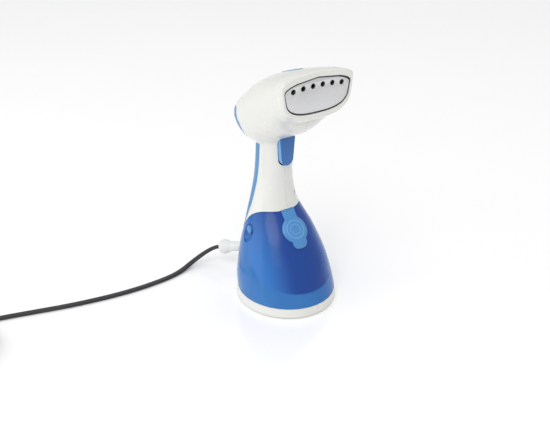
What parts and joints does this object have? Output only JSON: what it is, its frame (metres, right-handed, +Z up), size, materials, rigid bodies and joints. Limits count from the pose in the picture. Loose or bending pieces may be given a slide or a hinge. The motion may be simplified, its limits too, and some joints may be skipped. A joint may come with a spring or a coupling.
{
  "type": "garment steamer",
  "caption": "Upright hand-held garment steamer: bell-shaped body with slide-off blue water tank, trigger grip, forward steam head with jet plate, rear mains lead",
  "frame": {"origin": "centre of the base's underside, on the surface the steamer stands on", "axes": "+Z up, -Y towards the steam plate, +X to the right when the steam plate is faced"},
  "size_m": [0.4686, 0.2041, 0.279],
  "materials": {
    "white_shell": "glossy warm white moulding",
    "blue_tank": "translucent deep blue",
    "light_blue": "satin light blue",
    "grip_blue": "satin soft-touch blue",
    "trigger_blue": "glossy mid blue",
    "steam_face": "fine satin metal",
    "cast_metal": "die-cast",
    "steel": "plain steel",
    "copper_winding": "enamelled copper wire",
    "dark_rubber": "matt black",
    "silicone": "milky silicone",
    "red_silicone": "red silicone",
    "black_plastic": "matt black",
    "grey_plastic": "natural grey",
    "green_board": "solder-masked board",
    "amber_lamp": "clear amber",
    "black_cord": "satin black flex",
    "brass_blade": "bare brass",
    "relief_white": "satin white"
  },
  "bodies": {
    "body": {"base": "white_shell", "base_pad": "dark_rubber", "base_screws": "steel", "housing_left": "white_shell", "housing_right": "white_shell", "housing_screws": "steel", "rear_grip": "grip_blue", "head_rear_trim": "grip_blue", "indicator_lens": "light_blue", "indicator_lamp": "amber_lamp", "nozzle_ring": "white_shell", "plate_gasket": "dark_rubber", "steam_plate": "steam_face", "steam_jets": "black_plastic", "steam_manifold": "cast_metal", "boiler_body": "cast_metal", "boiler_gasket": "red_silicone", "boiler_cover": "cast_metal", "boiler_screws": "steel", "heating_element": "steel", "thermostat": "black_plastic", "thermal_fuse": "steel", "trigger_pin": "steel", "trigger_spring": "steel", "switch_bracket": "grey_plastic", "microswitch": "black_plastic", "control_board": "green_board", "pump_tube": "grey_plastic", "pump_coil": "copper_winding", "pump_frame": "steel", "pump_spring": "steel", "suction_hose": "silicone", "delivery_hose": "silicone", "inlet_spigot": "grey_plastic", "spigot_seal": "dark_rubber", "strain_relief": "relief_white", "cord_clamp": "grey_plastic", "internal_leads": "black_cord", "cord_run": "black_cord", "cord_coil": "black_cord", "cord_tail": "black_cord", "cord_tie": "black_plastic", "plug_body": "black_plastic", "plug_blades": "brass_blade"},
    "trigger": {"trigger": "trigger_blue"},
    "tank": {"tank_shell": "blue_tank", "tank_floor": "blue_tank", "pickup_tube": "silicone", "pickup_filter": "grey_plastic", "outlet_valve": "silicone", "button_spring_left": "steel", "button_spring_right": "steel"},
    "fill_cap": {"fill_cap": "light_blue", "cap_plug": "light_blue"},
    "button_left": {"release_button_left": "light_blue"},
    "button_right": {"release_button_right": "light_blue"},
    "plunger": {"pump_plunger": "steel"}
  },
  "joints": [
    {"name": "trigger_hinge", "type": "hinge", "parent": "body", "child": "trigger", "pos_m": [0, 0.0101, 0.189], "axis": [1, 0, 0], "range_deg": [0, 5], "stiffness_Nm_per_rad": 0.6, "springref_deg": -6.88, "deforming": ["trigger_spring"]},
    {"name": "tank_slide", "type": "slide", "parent": "body", "child": "tank", "axis": [0, -1, 0], "range_m": [0, 0.13]},
    {"name": "fill_cap_hinge", "type": "hinge", "parent": "tank", "child": "fill_cap", "pos_m": [0, -0.002, 0.10733], "axis": [-1, 0, 0], "range_deg": [0, 90]},
    {"name": "release_left", "type": "slide", "parent": "tank", "child": "button_left", "axis": [1, 0, 0], "range_m": [0, 0.0025], "stiffness_N_per_m": 400, "springref_m": -0.002, "deforming": ["button_spring_left"]},
    {"name": "release_right", "type": "slide", "parent": "tank", "child": "button_right", "axis": [-1, 0, 0], "range_m": [0, 0.0025], "stiffness_N_per_m": 400, "springref_m": -0.002, "deforming": ["button_spring_right"]},
    {"name": "pump_stroke", "type": "slide", "parent": "body", "child": "plunger", "axis": [0, 0, 1], "range_m": [0, 0.003], "stiffness_N_per_m": 300, "springref_m": -0.002, "deforming": ["pump_spring"]}
  ]
}
